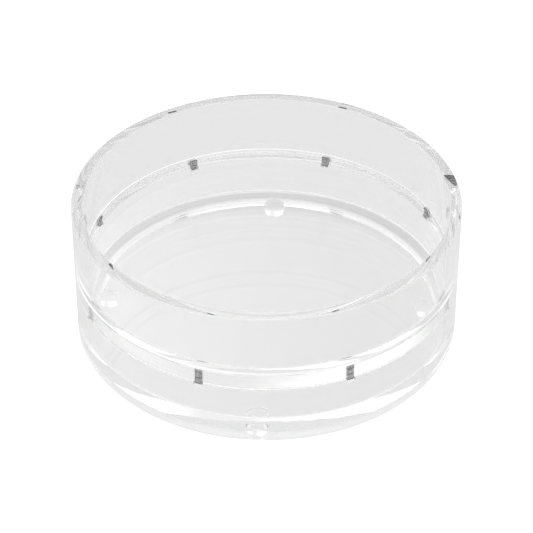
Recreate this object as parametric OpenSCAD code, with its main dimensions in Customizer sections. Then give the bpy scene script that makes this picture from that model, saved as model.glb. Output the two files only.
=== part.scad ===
// Clear petri dish made of two dishes that stack flush: the foot of the upper dish drops into a
// rebate in the rim of the base dish, and eight small keys in that joint stop the two from turning.
// The origin is the centre of the plane the base stands on, and +Z is up.

/* [Overall] */
// Outside diameter, the same for both dishes
outer_d = 40; // [36:0.5:60]
// Height of the two dishes stacked
total_h = 16; // [15:0.1:20]
// Wall thickness of both dishes
wall = 1.25; // [1.1:0.05:1.6]
// Rounding of the rim edges
rim_round = 0.12; // [0.05:0.01:0.2]
// Fillet between the wall and the floor, inside both dishes
floor_fillet = 0.35; // [0.2:0.05:1]

/* [Base dish] */
// Height of the base dish's rim above the table
base_h = 9.1; // [8.5:0.1:10]
// Height of the top of the base floor above the table
base_floor_z = 2.9; // [2.4:0.1:3.5]
// Thickness of the base floor
base_floor_t = 1.85; // [1:0.05:2]
// Rounding of the outside bottom edge
bottom_round = 1.4; // [0.6:0.1:1.5]
// Width of the ring that the base stands on, with its rounded edge
foot_ring_w = 1.8; // [1.8:0.1:3]

/* [Stacking joint] */
// Depth of the upper dish's foot inside the base rim
lap_depth = 2.1; // [1.5:0.1:2.5]
// Thickness of the base rim beside the foot
lap_wall = 0.6; // [0.4:0.05:0.7]
// Clearance between the two dishes, sideways and in height
joint_gap = 0.06; // [0.03:0.01:0.1]
// Chamfer on the two outside edges that meet at the joint
joint_chamfer = 0.1; // [0.05:0.01:0.2]
// Thickness of the upper dish's floor
upper_floor_t = 2.2; // [1.5:0.1:2.5]

/* [Keys] */
// Number of keys round the joint
key_count = 8; // [2:1:12]
// Direction of the first key, from +X towards +Y
first_key_angle = 25; // [0:1:44]
// Width of a key along the wall
key_w = 0.72; // [0.5:0.02:1]
// Thickness of a key across the wall
key_t = 0.46; // [0.3:0.02:0.5]
// Height of a key
key_h = 2.06; // [1.5:0.02:2.1]
// How far a key stands out below the foot of the upper dish
key_reach = 0.36; // [0.2:0.02:0.4]

/* [Pads] */
// Number of round pads under the base floor
pad_count = 4; // [3:1:8]
// Diameter of a pad
pad_d = 2.2; // [1.5:0.1:2.5]
// Distance of the pads from the centre line
pad_circle_r = 16.9; // [10:0.1:16.9]
// Direction of the first pad, from +X towards +Y
first_pad_angle = -3; // [-45:1:45]
// How far the pads stop short of the table
pad_lift = 0.15; // [0.05:0.05:0.5]

/* [Hidden] */
$fn = 128;

clear_plastic = [0.93, 0.95, 0.96, 0.45];
dark_plastic = [0.25, 0.25, 0.26];
eps = 0.01;

outer_r = outer_d / 2;
inner_r = outer_r - wall;

// Base dish
rebate_r = outer_r - lap_wall;
recess_r = outer_r - foot_ring_w;
recess_h = base_floor_z - base_floor_t;

// Upper dish
shoulder_z = base_h + joint_gap;
upper_foot_z = shoulder_z - lap_depth;
upper_foot_r = rebate_r - joint_gap;
upper_floor_z = upper_foot_z + upper_floor_t;
shelf_z = upper_foot_z - joint_gap;

// Keys, their pockets in the upper dish and their notches in the base
key_inset = 0.04;
key_side_gap = 0.02;
notch_side_gap = 0.1;
notch_floor_gap = 0.1;
key_outer_r = upper_foot_r - key_inset;
key_inner_r = key_outer_r - key_t;
key_bottom_z = upper_foot_z - key_reach;

// The part of a corner that a round of radius r takes away. The corner is at p, and dir points from
// it to the round's centre. Subtracted it rounds an edge, and added it fills a corner.
module corner(p, dir, r) {
    translate(p)
        difference() {
            translate([min(dir.x, 0) * r, min(dir.y, 0) * r])
                square(r);
            translate(dir * r)
                circle(r);
        }
}

// A 45 degree cut of size c across the corner at p, with the material in direction dir
module chamfer_cut(p, dir, c) {
    polygon([p, p + [dir.x * c, 0], p + [0, dir.y * c]]);
}

// A bar across the wall at the key direction given, from radius r0 to r1 and height z0 to z1
module wall_bar(angle, r0, r1, w, z0, z1) {
    rotate(angle)
        translate([r0, -w / 2, z0])
            cube([r1 - r0, w, z1 - z0]);
}

function key_angle(i) = first_key_angle + (i - 1) * 360 / key_count;

module base_profile() {
    difference() {
        union() {
            square([outer_r, base_floor_z]);
            translate([inner_r, 0])
                square([wall, base_h]);
            corner([inner_r, base_floor_z], [-1, 1], floor_fillet);
        }
        translate([inner_r - eps, shelf_z])
            square([rebate_r - inner_r + eps, base_h - shelf_z + eps]);
        translate([-eps, -eps])
            square([recess_r + eps, recess_h + eps]);
        corner([outer_r, 0], [-1, 1], bottom_round);
        chamfer_cut([outer_r, base_h], [-1, -1], joint_chamfer);
    }
}

module upper_profile() {
    difference() {
        union() {
            translate([0, upper_foot_z])
                square([upper_foot_r, upper_floor_t]);
            translate([inner_r, shoulder_z])
                square([wall, total_h - shoulder_z]);
            corner([inner_r, upper_floor_z], [-1, 1], floor_fillet);
        }
        corner([outer_r, total_h], [-1, -1], rim_round);
        corner([inner_r, total_h], [1, -1], rim_round);
        corner([upper_foot_r, upper_foot_z], [-1, 1], rim_round);
        chamfer_cut([outer_r, shoulder_z], [-1, 1], joint_chamfer);
    }
}

module pads() {
    for (i = [0 : pad_count - 1])
        rotate(first_pad_angle + i * 360 / pad_count)
            translate([pad_circle_r, 0, pad_lift])
                cylinder(d = pad_d, h = recess_h - pad_lift + eps);
}

module base_dish() {
    color(clear_plastic)
        union() {
            difference() {
                rotate_extrude()
                    base_profile();
                for (i = [1 : key_count])
                    wall_bar(key_angle(i), inner_r - 1, rebate_r - eps, key_w + 2 * notch_side_gap,
                             key_bottom_z - notch_floor_gap, shelf_z + eps);
            }
            pads();
        }
}

module upper_dish() {
    color(clear_plastic)
        difference() {
            rotate_extrude()
                upper_profile();
            for (i = [1 : key_count])
                wall_bar(key_angle(i), key_inner_r, upper_foot_r + 1, key_w + 2 * key_side_gap,
                         upper_foot_z - 1, key_bottom_z + key_h);
        }
}

module key(i) {
    color(dark_plastic)
        wall_bar(key_angle(i), key_inner_r, key_outer_r, key_w, key_bottom_z, key_bottom_z + key_h);
}

base_dish();
upper_dish();
key(1);  // key_1
key(2);  // key_2
key(3);  // key_3
key(4);  // key_4
key(5);  // key_5
key(6);  // key_6
key(7);  // key_7
key(8);  // key_8
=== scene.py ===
import math

import bpy
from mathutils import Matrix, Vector, geometry


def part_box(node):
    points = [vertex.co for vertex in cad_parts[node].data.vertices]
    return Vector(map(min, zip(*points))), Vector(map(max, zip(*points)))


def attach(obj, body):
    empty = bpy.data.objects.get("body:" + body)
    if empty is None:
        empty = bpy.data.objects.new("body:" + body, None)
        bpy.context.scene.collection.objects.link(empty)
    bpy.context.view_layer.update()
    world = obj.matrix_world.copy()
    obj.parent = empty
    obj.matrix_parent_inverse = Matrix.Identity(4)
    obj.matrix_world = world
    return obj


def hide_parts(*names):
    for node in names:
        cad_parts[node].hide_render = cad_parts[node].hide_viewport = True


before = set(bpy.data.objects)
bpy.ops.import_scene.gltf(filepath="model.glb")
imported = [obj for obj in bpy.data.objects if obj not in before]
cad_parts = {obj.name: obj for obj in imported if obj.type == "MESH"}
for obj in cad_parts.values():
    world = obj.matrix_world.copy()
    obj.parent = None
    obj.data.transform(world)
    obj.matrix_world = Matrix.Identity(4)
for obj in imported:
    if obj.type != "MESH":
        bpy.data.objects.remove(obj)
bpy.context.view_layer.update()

MM = 0.001
CLOSE = 0.001 * MM


def key_angle(node):
    """The direction of a key from the centre line, from +X towards +Y."""
    low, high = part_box(node)
    centre = (low + high) / 2
    return math.atan2(centre.y, centre.x) % (2 * math.pi)


# ---------------------------------------------------------------- sizes
OUTER_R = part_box("base_dish")[1].x
BASE_RIM_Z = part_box("base_dish")[1].z
UPPER_FOOT_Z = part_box("upper_dish")[0].z
RIM_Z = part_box("upper_dish")[1].z

# Both dishes
WALL = 1.25 * MM
INNER_R = OUTER_R - WALL
FLOOR_FILLET = 0.35 * MM
EDGE_ROUND = 0.12 * MM
JOINT_GAP = 0.06 * MM
JOINT_CHAMFER = 0.1 * MM

# Base dish
BASE_FLOOR_Z = 2.9 * MM
BASE_FLOOR_T = 1.85 * MM
BOTTOM_ROUND = 1.4 * MM
FOOT_RING_W = 1.8 * MM
LAP_WALL = 0.6 * MM
RECESS_R = OUTER_R - FOOT_RING_W
RECESS_Z = BASE_FLOOR_Z - BASE_FLOOR_T
REBATE_R = OUTER_R - LAP_WALL
SHELF_Z = UPPER_FOOT_Z - JOINT_GAP

# Upper dish
UPPER_FLOOR_T = 2.2 * MM
SHOULDER_Z = BASE_RIM_Z + JOINT_GAP
UPPER_FLOOR_Z = UPPER_FOOT_Z + UPPER_FLOOR_T
FOOT_R = REBATE_R - JOINT_GAP

# Pads under the base floor
PAD_COUNT = 4
PAD_R = 1.1 * MM
PAD_CIRCLE_R = 16.9 * MM
PAD_START = math.radians(-3)
PAD_Z = 0.15 * MM
PAD_ROUND = 0.2 * MM

# Keys. KEY_BITE is how far a key reaches into the upper dish, so that no gap of air shows there.
KEY_NODES = sorted((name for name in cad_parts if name.startswith("key_")), key=key_angle)
KEY_LOW_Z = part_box("key_1")[0].z
KEY_TOP_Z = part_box("key_1")[1].z
KEY_W = 0.72 * MM
KEY_T = 0.46 * MM
KEY_INSET = 0.04 * MM
KEY_BITE = 0.02 * MM
KEY_RIDGES = 3
RIDGE_PITCH = (KEY_TOP_Z - KEY_LOW_Z) / KEY_RIDGES
RIDGE_DEPTH = 0.07 * MM
RIDGE_FROM = 0.35
RIDGE_TO = 0.75
KEY_BEVEL = 0.015 * MM
KEY_OUTER_R = FOOT_R - KEY_INSET
KEY_INNER_R = KEY_OUTER_R - KEY_T

# The keys' pockets in the upper dish and their notches in the base
POCKET_R = KEY_INNER_R + KEY_BITE
POCKET_TOP_Z = KEY_TOP_Z - KEY_BITE
NOTCH_SIDE_GAP = 0.1 * MM
NOTCH_FLOOR_GAP = 0.1 * MM
NOTCH_Z = KEY_LOW_Z - NOTCH_FLOOR_GAP

# Mesh fineness. Points that agree to SAME_DECIMALS decimals of a millimetre are one point.
SAME_DECIMALS = 5
FILL_TOLERANCE = 1e-6
GAP_STEPS = 60
CUT_STEPS = 4
ARC_STEPS = 10
EDGE_STEPS = 4
PAD_STEPS = 48
PAD_EDGE_STEPS = 5

# ---------------------------------------------------------------- finish, stage and camera
# The tints are the share of light that passes a surface of the plastic. The rim's darker tint is
# painted shade on the rim's flat top.
CLEARNESS = 0.992
REFRACTIVE_INDEX = 1.49
RIM_PAINTED_SHADE = 0.76
SATIN_ROUGHNESS = 0.3
HAZE_SPREAD = 0.04
BUMP_DEPTH = 0.02 * MM
KEY_DARK = (0.16, 0.16, 0.163, 1)
KEY_LIGHT = (0.6, 0.6, 0.605, 1)
KEY_ROUGHNESS = 0.5
GROOVE_PAINTED_SHADE = (0.35, 0.35, 0.35, 1)
WHITE = (1, 1, 1, 1)

# The floor glows FLOOR_WHITE straight to the camera and FLOOR_GLOW through the dish.
FLOOR_HALF = 3.0
FLOOR_DROP = 0.02 * MM
FLOOR_WHITE = 1.1
FLOOR_GLOW = 0.585
FLOOR_BOUNCE = 0.2

# The soft rings of painted shade and of painted light on the floor, under the edge of the dish: a
# painted contact shadow at the back and a painted pool of focused light at the front
RING_SHIFT = 2 * MM
RING_INNER_R = 18.5 * MM
RING_OUTER_R = 20.5 * MM
RING_EDGE_R = 19.9 * MM
BACK_SHADE = 0.16
FRONT_PAINTED_LIGHT = 0.2

AIR_GLOW = 0.9
LAMP_DISTANCE = 2.0

CAMERA_DISTANCE = 11.3 * OUTER_R
CAMERA_ELEVATION = math.radians(35.24)
CAMERA_AIM_BELOW_RIM = math.radians(1.757)
CAMERA_LENS = 149.1
LONG_PATH = 128


# ---------------------------------------------------------------- outlines
# An outline runs in the plane of radius and height with the solid on its left. It is a list of
# pieces (p, q, normal at p, normal at q).
def line(*points):
    """Straight pieces through the points in turn."""
    pieces = []
    for p, q in zip(points, points[1:]):
        step = Vector((q[0] - p[0], q[1] - p[1])).normalized()
        normal = (step.y, -step.x)
        pieces.append((p, q, normal, normal))
    return pieces


def arc(centre, radius, start, end, steps=ARC_STEPS):
    """Pieces of a circle from start to end degrees. It bulges out of the solid if end is larger."""
    side = 1 if end > start else -1
    turns = [math.radians(start + (end - start) * i / steps) for i in range(steps + 1)]
    rays = [(math.cos(t), math.sin(t)) for t in turns]
    points = [(centre[0] + radius * x, centre[1] + radius * y) for x, y in rays]
    normals = [(side * x, side * y) for x, y in rays]
    return list(zip(points, points[1:], normals, normals[1:]))


def chain(*parts):
    """Joins outline parts, with a straight piece where one ends away from the next one's start."""
    pieces = []
    for part in parts:
        if pieces and math.dist(pieces[-1][1], part[0][0]) > CLOSE:
            pieces += line(pieces[-1][1], part[0][0])
        pieces += part
    return pieces


# ---------------------------------------------------------------- meshes with exact normals
def turned(point, angle, centre=(0, 0)):
    """An outline point, turned about the vertical line through centre."""
    radius, height = point
    return (centre[0] + radius * math.cos(angle), centre[1] + radius * math.sin(angle), height)


def spun(normal, angle):
    """An outline normal, turned in the same way."""
    return (normal[0] * math.cos(angle), normal[0] * math.sin(angle), normal[1])


class Shell:
    """A mesh in the making, with its own normal at each corner of each face."""

    def __init__(self):
        self.points = []
        self.index = {}
        self.faces = []
        self.normals = []

    def corner(self, point):
        """The number of a point, which is shared by all the faces that meet there."""
        key = tuple(round(c / MM, SAME_DECIMALS) for c in point)
        if key not in self.index:
            self.index[key] = len(self.points)
            self.points.append(tuple(point))
        return self.index[key]

    def face(self, points, normals):
        """Adds a face, without any corners that fall together."""
        corners, kept = [], []
        for point, normal in zip(points, normals):
            number = self.corner(point)
            if number not in corners:
                corners.append(number)
                kept.append(normal)
        if len(corners) > 2:
            self.faces.append(corners)
            self.normals += kept

    def flat(self, points, normal):
        """Adds a flat face."""
        self.face(points, [normal] * len(points))

    def revolve(self, pieces, start, end, steps, centre=(0, 0)):
        """Turns outline pieces about the vertical line through centre, from start to end."""
        for i in range(steps):
            a = start + (end - start) * i / steps
            b = start + (end - start) * (i + 1) / steps
            for p, q, normal_p, normal_q in pieces:
                corners = ((p, a), (p, b), (q, b), (q, a))
                points = [turned(point, angle, centre) for point, angle in corners]
                normals = [spun(normal_p, a), spun(normal_p, b), spun(normal_q, b), spun(normal_q, a)]
                self.face(points, normals)

    def build(self, name, *slot_tests):
        """Makes the piece. A face takes the slot of the test that all its corners pass, or slot 0."""
        mesh = bpy.data.meshes.new(name)
        mesh.from_pydata(self.points, [], self.faces)
        mesh.polygons.foreach_set("use_smooth", [True] * len(mesh.polygons))
        mesh.normals_split_custom_set([Vector(n).normalized() for n in self.normals])
        mesh.update()
        for face in mesh.polygons:
            corners = [self.points[i] for i in face.vertices]
            for slot, test in enumerate(slot_tests, 1):
                if all(test(math.hypot(x, y), z) for x, y, z in corners):
                    face.material_index = slot
        return link_piece(name, mesh)


def link_piece(name, mesh):
    """Puts a mesh in the scene as an object."""
    piece = bpy.data.objects.new(name, mesh)
    bpy.context.scene.collection.objects.link(piece)
    return piece


def lathe_with_cuts(before, plain, cut, after, cut_half_width):
    """A turned solid whose outline takes the cut part instead of the plain part at each key."""
    shell = Shell()
    centres = [key_angle(node) for node in KEY_NODES]
    side = [piece[0] for piece in plain] + [plain[-1][1]] + [piece[0] for piece in cut[:0:-1]]
    for centre, following in zip(centres, centres[1:] + [centres[0] + 2 * math.pi]):
        cut_start, cut_end = centre - cut_half_width, centre + cut_half_width
        shell.revolve(before + cut + after, cut_start, cut_end, CUT_STEPS)
        shell.revolve(before + plain + after, cut_end, following - cut_half_width, GAP_STEPS)
        for angle, facing in ((cut_start, 1), (cut_end, -1)):
            normal = (-facing * math.sin(angle), facing * math.cos(angle), 0)
            points = [turned(p, angle) for p in side]
            shell.flat(points if facing < 0 else points[::-1], normal)
    return shell


# ---------------------------------------------------------------- base dish
def base_dish():
    before = chain(
        line((RECESS_R, RECESS_Z), (RECESS_R, 0)),
        arc((OUTER_R - BOTTOM_ROUND, BOTTOM_ROUND), BOTTOM_ROUND, -90, 0),
        line((OUTER_R, BASE_RIM_Z - JOINT_CHAMFER), (OUTER_R - JOINT_CHAMFER, BASE_RIM_Z)),
        line((REBATE_R, BASE_RIM_Z), (REBATE_R, SHELF_Z)),
    )
    plain = line((REBATE_R, SHELF_Z), (INNER_R, SHELF_Z), (INNER_R, NOTCH_Z))
    cut = line((REBATE_R, SHELF_Z), (REBATE_R, NOTCH_Z), (INNER_R, NOTCH_Z))
    after = chain(
        line((INNER_R, NOTCH_Z), (INNER_R, BASE_FLOOR_Z + FLOOR_FILLET)),
        arc((INNER_R - FLOOR_FILLET, BASE_FLOOR_Z + FLOOR_FILLET), FLOOR_FILLET, 0, -90),
        line((INNER_R - FLOOR_FILLET, BASE_FLOOR_Z), (0, BASE_FLOOR_Z)),
    )
    shell = lathe_with_cuts(before, plain, cut, after, (KEY_W / 2 + NOTCH_SIDE_GAP) / FOOT_R)
    add_underside(shell)
    return shell.build("base_dish_clear")


def pad_centres():
    """The middles of the pads, evenly spaced on their circle."""
    angles = [PAD_START + i * 2 * math.pi / PAD_COUNT for i in range(PAD_COUNT)]
    return [(PAD_CIRCLE_R * math.cos(a), PAD_CIRCLE_R * math.sin(a)) for a in angles]


def add_underside(shell):
    """The underside of the base floor, with the round pads standing down from it."""
    level = [p for p in shell.points if p[2] == RECESS_Z]
    edge = [p for p in level if abs(math.hypot(p[0], p[1]) - RECESS_R) < CLOSE]
    rings = [sorted(edge, key=lambda p: math.atan2(p[1], p[0]))]
    outline = chain(
        line((0, PAD_Z), (PAD_R - PAD_ROUND, PAD_Z)),
        arc((PAD_R - PAD_ROUND, PAD_Z + PAD_ROUND), PAD_ROUND, -90, 0, PAD_EDGE_STEPS),
        line((PAD_R, PAD_Z + PAD_ROUND), (PAD_R, RECESS_Z)),
    )
    for centre in pad_centres():
        shell.revolve(outline, 0, 2 * math.pi, PAD_STEPS, centre)
        turns = [i * 2 * math.pi / PAD_STEPS for i in range(PAD_STEPS)]
        rings.append([turned((PAD_R, RECESS_Z), turn, centre) for turn in turns])
    fill_between(shell, rings)


def fill_between(shell, rings):
    """Fills the flat underside between the recess's edge and the pads with triangles."""
    centres = pad_centres()
    flat_points, edges = [], []
    for ring in rings:
        first = len(flat_points)
        flat_points += [Vector((p[0], p[1])) / MM for p in ring]
        edges += [(first + i, first + (i + 1) % len(ring)) for i in range(len(ring))]
    all_points = [p for ring in rings for p in ring]
    triangles = geometry.delaunay_2d_cdt(flat_points, edges, [], 0, FILL_TOLERANCE)[2]
    for triangle in triangles:
        corners = [all_points[i] for i in triangle]
        middle = (sum(p[0] for p in corners) / 3, sum(p[1] for p in corners) / 3)
        if all(math.dist(middle, centre) > PAD_R for centre in centres):
            shell.flat(corners[::-1], (0, 0, -1))


# ---------------------------------------------------------------- upper dish
def on_foot(radius, height):
    return abs(radius - FOOT_R) < CLOSE


# Picks the rim's flat top, which gets the painted shade.
def on_rim_for_painted_shade(radius, height):
    return abs(height - RIM_Z) < CLOSE


def upper_dish():
    foot_round = (FOOT_R - EDGE_ROUND, UPPER_FOOT_Z + EDGE_ROUND)
    before = line((0, UPPER_FOOT_Z), (POCKET_R, UPPER_FOOT_Z))
    plain = chain(
        line((POCKET_R, UPPER_FOOT_Z), (foot_round[0], UPPER_FOOT_Z)),
        arc(foot_round, EDGE_ROUND, -90, 0, EDGE_STEPS),
        line((FOOT_R, foot_round[1]), (FOOT_R, POCKET_TOP_Z)),
    )
    cut = line((POCKET_R, UPPER_FOOT_Z), (POCKET_R, POCKET_TOP_Z), (FOOT_R, POCKET_TOP_Z))
    after = chain(
        line((FOOT_R, POCKET_TOP_Z), (FOOT_R, SHOULDER_Z), (OUTER_R - JOINT_CHAMFER, SHOULDER_Z)),
        line((OUTER_R - JOINT_CHAMFER, SHOULDER_Z), (OUTER_R, SHOULDER_Z + JOINT_CHAMFER)),
        arc((OUTER_R - EDGE_ROUND, RIM_Z - EDGE_ROUND), EDGE_ROUND, 0, 90, EDGE_STEPS),
        arc((INNER_R + EDGE_ROUND, RIM_Z - EDGE_ROUND), EDGE_ROUND, 90, 180, EDGE_STEPS),
        arc((INNER_R - FLOOR_FILLET, UPPER_FLOOR_Z + FLOOR_FILLET), FLOOR_FILLET, 0, -90),
        line((INNER_R - FLOOR_FILLET, UPPER_FLOOR_Z), (0, UPPER_FLOOR_Z)),
    )
    shell = lathe_with_cuts(before, plain, cut, after, (KEY_W / 2 - KEY_BITE) / FOOT_R)
    return shell.build("upper_dish_clear", on_foot, on_rim_for_painted_shade)


# ---------------------------------------------------------------- keys
def key_section():
    """The outline of a key in the plane of radius and height, with ridges down its outer face."""
    groove_r = KEY_OUTER_R - RIDGE_DEPTH
    points = []
    for i in range(KEY_RIDGES):
        z = KEY_LOW_Z + i * RIDGE_PITCH
        points.append((groove_r, z))
        points += [(KEY_OUTER_R, z + RIDGE_PITCH * share) for share in (RIDGE_FROM, RIDGE_TO)]
    return points + [(groove_r, KEY_TOP_Z), (KEY_INNER_R, KEY_TOP_Z), (KEY_INNER_R, KEY_LOW_Z)]


def joint_key(node):
    """A small upright bar with bevelled sides."""
    section = key_section()
    middle_r = (KEY_INNER_R + KEY_OUTER_R) / 2
    angle = key_angle(node)
    along = (math.cos(angle), math.sin(angle))
    half = KEY_W / 2
    stations = ((-half, KEY_BEVEL), (-half + KEY_BEVEL, 0), (half - KEY_BEVEL, 0), (half, KEY_BEVEL))
    points = []
    for offset, inset in stations:
        for r, z in section:
            r += inset if r < middle_r else -inset
            z = min(max(z, KEY_LOW_Z + inset), KEY_TOP_Z - inset)
            points.append((along[0] * r - along[1] * offset, along[1] * r + along[0] * offset, z))
    size = len(section)
    faces = [list(range(size)), list(range(3 * size, 4 * size))[::-1]]
    for first in (0, size, 2 * size):
        for i in range(size):
            j = (i + 1) % size
            faces.append([first + i, first + size + i, first + size + j, first + j])
    mesh = bpy.data.meshes.new(node)
    mesh.from_pydata(points, [], faces)
    mesh.update()
    return link_piece("joint_" + node, mesh)


# ---------------------------------------------------------------- shader nodes
def math_node(tree, operation, *values):
    """A sum of one step, on numbers and on other nodes' outputs."""
    node = tree.nodes.new("ShaderNodeMath")
    node.operation = operation
    for socket, value in zip(node.inputs, values):
        if isinstance(value, (int, float)):
            socket.default_value = value
        else:
            tree.links.new(value, socket)
    return node.outputs["Value"]


def length_node(tree, vector):
    node = tree.nodes.new("ShaderNodeVectorMath")
    node.operation = "LENGTH"
    tree.links.new(vector, node.inputs[0])
    return node.outputs["Value"]


def range_node(tree, value, start, end, low, high, kind="LINEAR"):
    """Maps start to low and end to high, and holds low and high beyond them."""
    node = tree.nodes.new("ShaderNodeMapRange")
    node.interpolation_type = kind
    node.inputs["From Min"].default_value = start
    node.inputs["From Max"].default_value = end
    node.inputs["To Min"].default_value = low
    node.inputs["To Max"].default_value = high
    tree.links.new(value, node.inputs["Value"])
    return node.outputs["Result"]


def noise_node(tree, scale, detail, seed=None):
    """Noise that is fixed to the piece. Each seed gives another pattern."""
    place = tree.nodes.new("ShaderNodeTexCoord")
    node = tree.nodes.new("ShaderNodeTexNoise")
    if seed is not None:
        node.noise_dimensions = "4D"
        node.inputs["W"].default_value = seed
    node.inputs["Scale"].default_value = scale
    node.inputs["Detail"].default_value = detail
    tree.links.new(place.outputs["Object"], node.inputs["Vector"])
    return node.outputs["Fac"]


def ramp_node(tree, value, *stops):
    """A colour that depends on a value, from two stops of (value, colour)."""
    node = tree.nodes.new("ShaderNodeValToRGB")
    for element, (position, colour) in zip(node.color_ramp.elements, stops):
        element.position = position
        element.color = colour
    tree.links.new(value, node.inputs["Fac"])
    return node.outputs["Color"]


def add_bump(tree, surface, height, strength):
    node = tree.nodes.new("ShaderNodeBump")
    node.inputs["Strength"].default_value = strength
    node.inputs["Distance"].default_value = BUMP_DEPTH
    tree.links.new(height, node.inputs["Height"])
    tree.links.new(node.outputs["Normal"], surface.inputs["Normal"])


# ---------------------------------------------------------------- materials
def new_material(name):
    material = bpy.data.materials.new(name)
    material.use_nodes = True
    return material, material.node_tree, material.node_tree.nodes["Principled BSDF"]


def clear_plastic(name, seed, roughness=0.0, tint=CLEARNESS):
    """Clear moulded plastic: a very faint waviness from the mould and a trace of haze that varies."""
    material, tree, surface = new_material(name)
    surface.inputs["Base Color"].default_value = (tint, tint, tint, 1)
    surface.inputs["Transmission Weight"].default_value = 1
    surface.inputs["IOR"].default_value = REFRACTIVE_INDEX
    wave = noise_node(tree, scale=260, detail=2, seed=seed)
    add_bump(tree, surface, wave, strength=0.25)
    patches = noise_node(tree, scale=900, detail=4, seed=seed + 5)
    most = roughness + HAZE_SPREAD
    haze = range_node(tree, patches, start=0.5, end=0.8, low=roughness, high=most)
    tree.links.new(haze, surface.inputs["Roughness"])
    return material


def groove_painted_shade(tree):
    """Painted shade: dark bands at the grooves between the ridges of a key."""
    place = tree.nodes.new("ShaderNodeTexCoord")
    split = tree.nodes.new("ShaderNodeSeparateXYZ")
    tree.links.new(place.outputs["Object"], split.inputs["Vector"])
    ridges = range_node(tree, split.outputs["Z"], KEY_LOW_Z, KEY_TOP_Z, 0, KEY_RIDGES)
    return ramp_node(tree, math_node(tree, "FRACT", ridges), (0.18, GROOVE_PAINTED_SHADE), (0.42, WHITE))


def dark_plastic():
    """Mottled dark grey matt plastic, with painted shade in the grooves."""
    material, tree, surface = new_material("ridged_dark_plastic")
    mottle = noise_node(tree, scale=5000, detail=3)
    tone = ramp_node(tree, mottle, (0.3, KEY_DARK), (0.7, KEY_LIGHT))
    darken = tree.nodes.new("ShaderNodeMix")
    darken.data_type = "RGBA"
    darken.blend_type = "MULTIPLY"
    darken.inputs["Factor"].default_value = 1
    tree.links.new(tone, darken.inputs["A"])
    # Multiplies in the painted shade of the grooves.
    tree.links.new(groove_painted_shade(tree), darken.inputs["B"])
    tree.links.new(darken.outputs["Result"], surface.inputs["Base Color"])
    surface.inputs["Roughness"].default_value = KEY_ROUGHNESS
    add_bump(tree, surface, mottle, strength=0.4)
    return material


def add_piece(piece, body, node, slot, *materials):
    """Gives a piece its materials, its body and the CAD node whose place it takes."""
    for material in materials:
        piece.data.materials.append(material)
    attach(piece, body)
    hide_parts(node)


def add_dishes():
    clear_base = clear_plastic("clear_plastic_base", seed=1)
    add_piece(base_dish(), "base", "base_dish", "base_dish", clear_base)
    clear_upper = clear_plastic("clear_plastic_upper", seed=2)
    satin_foot = clear_plastic("satin_plastic_upper", seed=2, roughness=SATIN_ROUGHNESS)
    # The rim's flat top is greyed with a darker tint: painted shade.
    rim_painted_shade = clear_plastic("clear_plastic_rim_painted_shade", seed=3, tint=RIM_PAINTED_SHADE)
    add_piece(upper_dish(), "upper", "upper_dish", "upper_dish", clear_upper, satin_foot, rim_painted_shade)


def add_keys():
    dark = dark_plastic()
    for node in KEY_NODES:
        add_piece(joint_key(node), "upper", node, "key", dark)


# ---------------------------------------------------------------- stage and light
def direction(azimuth, elevation):
    """A unit vector, with both angles in degrees and azimuth from +X towards +Y."""
    a, e = math.radians(azimuth), math.radians(elevation)
    return Vector((math.cos(a) * math.cos(e), math.sin(a) * math.cos(e), math.sin(e)))


def painted_floor_ring(tree, shift, strength):
    """A soft-edged ring on the floor under the edge of the dish, used for painted shade at the back
    and for painted light at the front. A positive shift keeps it to the back of the dish and a
    negative one to the front."""
    place = tree.nodes.new("ShaderNodeNewGeometry").outputs["Position"]
    moved = tree.nodes.new("ShaderNodeVectorMath")
    moved.inputs[1].default_value = (0, shift, 0)
    tree.links.new(place, moved.inputs[0])
    reach = length_node(tree, moved.outputs["Vector"])
    ring = range_node(tree, reach, RING_INNER_R, RING_OUTER_R, 0, strength, "SMOOTHSTEP")
    under = math_node(tree, "LESS_THAN", length_node(tree, place), RING_EDGE_R)
    return math_node(tree, "MULTIPLY", ring, under)


def floor_material():
    """White and lit from below like a light table. Straight to the camera it is pure white, and
    through the dish it is greyer, with a painted shadow under the back edge and a painted pool of
    light at the front edge."""
    material, tree, surface = new_material("pale_floor")
    surface.inputs["Base Color"].default_value = (FLOOR_BOUNCE, FLOOR_BOUNCE, FLOOR_BOUNCE, 1)
    surface.inputs["Roughness"].default_value = 1
    surface.inputs["Specular IOR Level"].default_value = 0
    surface.inputs["Emission Color"].default_value = WHITE
    # The glow is painted darker under the back edge (painted shadow) and lighter under the front edge
    # (painted light).
    shaded = math_node(tree, "SUBTRACT", FLOOR_GLOW, painted_floor_ring(tree, RING_SHIFT, BACK_SHADE))
    painted_light_added = math_node(tree, "ADD", shaded, painted_floor_ring(tree, -RING_SHIFT, FRONT_PAINTED_LIGHT))
    glow = tree.nodes.new("ShaderNodeMix")
    glow.inputs["B"].default_value = FLOOR_WHITE
    path = tree.nodes.new("ShaderNodeLightPath")
    tree.links.new(path.outputs["Is Camera Ray"], glow.inputs["Factor"])
    tree.links.new(painted_light_added, glow.inputs["A"])
    tree.links.new(glow.outputs["Result"], surface.inputs["Emission Strength"])
    return material


def pale_floor():
    """A flat table, a hair below the dish."""
    mesh = bpy.data.meshes.new("floor")
    signs = ((-1, -1), (1, -1), (1, 1), (-1, 1))
    mesh.from_pydata([(x * FLOOR_HALF, y * FLOOR_HALF, 0) for x, y in signs], [], [(0, 1, 2, 3)])
    mesh.materials.append(floor_material())
    floor = link_piece("floor", mesh)
    floor.location.z = -FLOOR_DROP


def soft_box(name, azimuth, elevation, size, radiance):
    """A square light that faces the dish."""
    light = bpy.data.lights.new(name, "AREA")
    light.size = size
    light.energy = radiance * math.pi * size * size
    lamp = bpy.data.objects.new(name, light)
    away = direction(azimuth, elevation)
    lamp.location = away * LAMP_DISTANCE
    lamp.rotation_euler = away.to_track_quat("Z", "Y").to_euler()
    bpy.context.scene.collection.objects.link(lamp)


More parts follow.
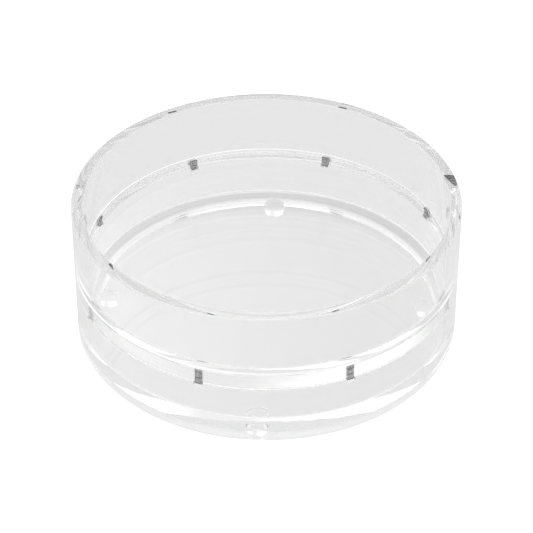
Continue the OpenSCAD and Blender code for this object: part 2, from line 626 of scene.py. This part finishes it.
def soft_glow(tree, azimuth, elevation, inner, outer, strength):
    """A round patch of brighter air with a soft edge, from inner to outer degrees off its middle."""
    place = tree.nodes.new("ShaderNodeTexCoord")
    facing = tree.nodes.new("ShaderNodeVectorMath")
    facing.operation = "DOT_PRODUCT"
    facing.inputs[1].default_value = direction(azimuth, elevation)
    tree.links.new(place.outputs["Generated"], facing.inputs[0])
    start, end = math.cos(math.radians(outer)), math.cos(math.radians(inner))
    return range_node(tree, facing.outputs["Value"], start, end, 0, strength, "SMOOTHSTEP")


def studio_air():
    """A pale surround with two large soft patches behind the dish, the left one stronger."""
    world = bpy.data.worlds.new("studio")
    world.use_nodes = True
    bpy.context.scene.world = world
    tree = world.node_tree
    left = soft_glow(tree, azimuth=122, elevation=43, inner=6, outer=28, strength=0.9)
    right = soft_glow(tree, azimuth=45, elevation=36, inner=6, outer=24, strength=0.45)
    total = math_node(tree, "ADD", math_node(tree, "ADD", left, right), AIR_GLOW)
    background = tree.nodes["Background"]
    background.inputs["Color"].default_value = WHITE
    tree.links.new(total, background.inputs["Strength"])


def camera():
    """Looks along +Y and down at the rim, aimed a little below it so that the dish is centred."""
    data = bpy.data.cameras.new("camera")
    data.sensor_width = 36
    data.lens = CAMERA_LENS
    data.clip_start = 0.01
    data.clip_end = 50
    eye = bpy.data.objects.new("camera", data)
    back = CAMERA_DISTANCE * math.cos(CAMERA_ELEVATION)
    up = CAMERA_DISTANCE * math.sin(CAMERA_ELEVATION)
    eye.location = (0, -back, RIM_Z + up)
    eye.rotation_euler = (math.pi / 2 - CAMERA_ELEVATION - CAMERA_AIM_BELOW_RIM, 0, 0)
    bpy.context.scene.collection.objects.link(eye)
    bpy.context.scene.camera = eye


def light_paths():
    """Clear walls pass a ray on many times before it leaves, so the paths are long."""
    cycles = bpy.context.scene.cycles
    cycles.max_bounces = LONG_PATH
    cycles.transmission_bounces = LONG_PATH
    cycles.glossy_bounces = LONG_PATH
    cycles.transparent_max_bounces = 24
    cycles.blur_glossy = 0
    bpy.context.scene.view_settings.view_transform = "Standard"


add_dishes()
add_keys()
pale_floor()
studio_air()
soft_box("overhead_light", azimuth=90, elevation=82, size=1.2, radiance=0.9)
camera()
light_paths()
